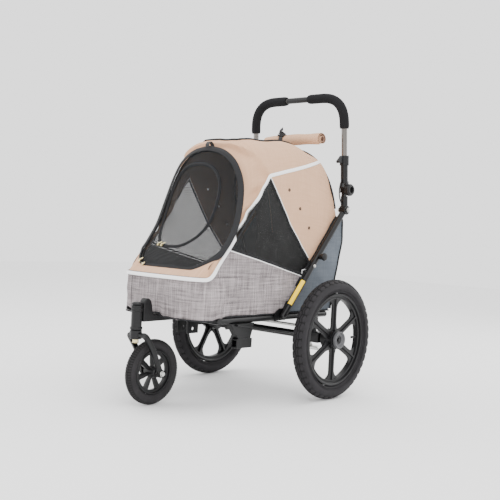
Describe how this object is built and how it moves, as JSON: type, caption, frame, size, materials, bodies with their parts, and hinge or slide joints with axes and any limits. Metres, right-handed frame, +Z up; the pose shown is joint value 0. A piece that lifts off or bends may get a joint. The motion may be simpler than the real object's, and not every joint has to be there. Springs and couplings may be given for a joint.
{
  "type": "pet stroller",
  "caption": "Folding pet stroller with a zipped mesh front, a fabric cabin on a tube frame, large rear wheels, a swivelling front caster and a telescopic push handle.",
  "frame": {"origin": "on the ground, under the middle of the stroller's length", "axes": "+Z up; the front faces -Y; the stroller's own left is +X"},
  "size_m": [0.626, 0.8493, 1.0452],
  "materials": {
    "frame_black": "satin powder coat",
    "plastic_black": "fine moulded texture",
    "rim_black": "satin moulded plastic",
    "steel": "polished steel tube",
    "zinc": "zinc plated",
    "tyre_rubber": "matt rubber with block tread",
    "grip_foam": "soft foam",
    "melange": "grey melange weave",
    "beige": "plain woven polyester",
    "mesh": "see-through mesh",
    "board": "matt board"
  },
  "bodies": {
    "chassis": {"side_rail_left": "frame_black", "side_rail_right": "frame_black", "axle_bracket_left": "frame_black", "axle_bracket_right": "frame_black", "fold_bracket_left": "frame_black", "fold_bracket_right": "frame_black", "stay_rod_left": "frame_black", "stay_rod_right": "frame_black", "axle_stub_left": "zinc", "axle_stub_right": "zinc", "front_cross_tube": "frame_black", "middle_cross_tube": "frame_black", "bracket_cross_tube": "frame_black", "rear_axle_beam": "frame_black", "steering_head": "frame_black", "front_beam": "frame_black", "floor_board": "board", "under_bracket": "frame_black", "tow_bracket": "frame_black", "tow_receiver": "frame_black", "lower_tub": "melange", "canopy": "beige", "rear_panel": "beige", "roof_cover_roll": "beige"},
    "caster": {"front_fork": "frame_black", "front_axle_bolt": "zinc"},
    "front_wheel": {"front_tyre": "tyre_rubber", "front_rim": "rim_black"},
    "swivel_lock": {"swivel_lock_lever": "plastic_black"},
    "uprights": {"upright_left": "frame_black", "upright_right": "frame_black", "upper_hinge_left": "frame_black", "upper_hinge_right": "frame_black", "hinge_bolt_left": "zinc", "hinge_bolt_right": "zinc", "fold_pull_left": "plastic_black", "fold_pull_right": "plastic_black"},
    "handle_lower": {"handle_sleeve_left": "frame_black", "handle_sleeve_right": "frame_black", "clamp_collar_left": "plastic_black", "clamp_collar_right": "plastic_black"},
    "handle_upper": {"handlebar": "steel", "grip_left": "grip_foam", "grip_right": "grip_foam"},
    "brake": {"brake_bar": "frame_black"},
    "door": {"front_door": "mesh"},
    "hoop": {"roof_hoop": "zinc"},
    "rear_wheel_left": {"rear_tyre_left": "tyre_rubber", "rear_rim_left": "rim_black"},
    "release_left": {"release_button_left": "plastic_black"},
    "plunger_left": {"lock_plunger_left": "plastic_black"},
    "knob_left": {"angle_knob_left": "plastic_black"},
    "clamp_left": {"clamp_lever_left": "plastic_black"},
    "rear_wheel_right": {"rear_tyre_right": "tyre_rubber", "rear_rim_right": "rim_black"},
    "release_right": {"release_button_right": "plastic_black"},
    "plunger_right": {"lock_plunger_right": "plastic_black"},
    "knob_right": {"angle_knob_right": "plastic_black"},
    "clamp_right": {"clamp_lever_right": "plastic_black"}
  },
  "joints": [
    {"name": "rear_wheel_spin_left", "type": "hinge", "parent": "chassis", "child": "rear_wheel_left", "pos_m": [0.279, 0.225, 0.2], "axis": [1, 0, 0], "continuous": true},
    {"name": "release_press_left", "type": "slide", "parent": "chassis", "child": "release_left", "axis": [-1, 0, 0], "range_m": [0, 0.004], "stiffness_N_per_m": 400},
    {"name": "plunger_pull_left", "type": "slide", "parent": "uprights", "child": "plunger_left", "axis": [1, 0, 0], "range_m": [0, 0.006], "stiffness_N_per_m": 500},
    {"name": "knob_turn_left", "type": "hinge", "parent": "handle_lower", "child": "knob_left", "pos_m": [0.2178, 0.3546, 0.707], "axis": [1, 0, 0], "range_deg": [-180, 180]},
    {"name": "clamp_open_left", "type": "hinge", "parent": "handle_lower", "child": "clamp_left", "pos_m": [0.204, 0.3215, 0.82], "axis": [-1, 0, 0], "range_deg": [0, 70]},
    {"name": "rear_wheel_spin_right", "type": "hinge", "parent": "chassis", "child": "rear_wheel_right", "pos_m": [-0.279, 0.225, 0.2], "axis": [1, 0, 0], "continuous": true},
    {"name": "release_press_right", "type": "slide", "parent": "chassis", "child": "release_right", "axis": [1, 0, 0], "range_m": [0, 0.004], "stiffness_N_per_m": 400},
    {"name": "plunger_pull_right", "type": "slide", "parent": "uprights", "child": "plunger_right", "axis": [-1, 0, 0], "range_m": [0, 0.006], "stiffness_N_per_m": 500},
    {"name": "knob_turn_right", "type": "hinge", "parent": "handle_lower", "child": "knob_right", "pos_m": [-0.2178, 0.3546, 0.707], "axis": [1, 0, 0], "range_deg": [-180, 180]},
    {"name": "clamp_open_right", "type": "hinge", "parent": "handle_lower", "child": "clamp_right", "pos_m": [-0.204, 0.3215, 0.82], "axis": [-1, 0, 0], "range_deg": [0, 70]},
    {"name": "caster_swivel", "type": "hinge", "parent": "chassis", "child": "caster", "pos_m": [0, -0.395, 0.25], "axis": [0, 0, 1], "continuous": true},
    {"name": "front_wheel_spin", "type": "hinge", "parent": "caster", "child": "front_wheel", "pos_m": [0, -0.324, 0.101], "axis": [1, 0, 0], "continuous": true},
    {"name": "swivel_lock_turn", "type": "hinge", "parent": "chassis", "child": "swivel_lock", "pos_m": [-0.0178, -0.399, 0.292], "axis": [1, 0, 0], "range_deg": [0, 35]},
    {"name": "frame_fold", "type": "hinge", "parent": "chassis", "child": "uprights", "pos_m": [0, 0.055, 0.283], "axis": [-1, 0, 0], "range_deg": [0, 30], "deforming": ["canopy", "rear_panel", "roof_cover_roll"]},
    {"name": "handle_fold", "type": "hinge", "parent": "uprights", "child": "handle_lower", "pos_m": [0, 0.3546, 0.707], "axis": [1, 0, 0], "range_deg": [0, 110], "deforming": ["fold_pull_left", "fold_pull_right"]},
    {"name": "handle_slide", "type": "slide", "parent": "handle_lower", "child": "handle_upper", "axis": [0, -0.091, 0.9958], "range_m": [-0.028, 0.02]},
    {"name": "brake_press", "type": "hinge", "parent": "chassis", "child": "brake", "pos_m": [0, 0.273, 0.222], "axis": [-1, 0, 0], "range_deg": [0, 25]},
    {"name": "door_open", "type": "hinge", "parent": "chassis", "child": "door", "pos_m": [0, -0.267, 0.435], "axis": [1, 0, 0], "range_deg": [0, 100]},
    {"name": "hoop_fold", "type": "hinge", "parent": "chassis", "child": "hoop", "pos_m": [0, 0.295, 0.36], "axis": [1, 0, 0], "range_deg": [0, 60]}
  ],
  "couplings": [
    {"joint": "handle_fold", "follows": "frame_fold", "ratio": 3.6667},
    {"joint": "hoop_fold", "follows": "frame_fold", "ratio": 2}
  ]
}
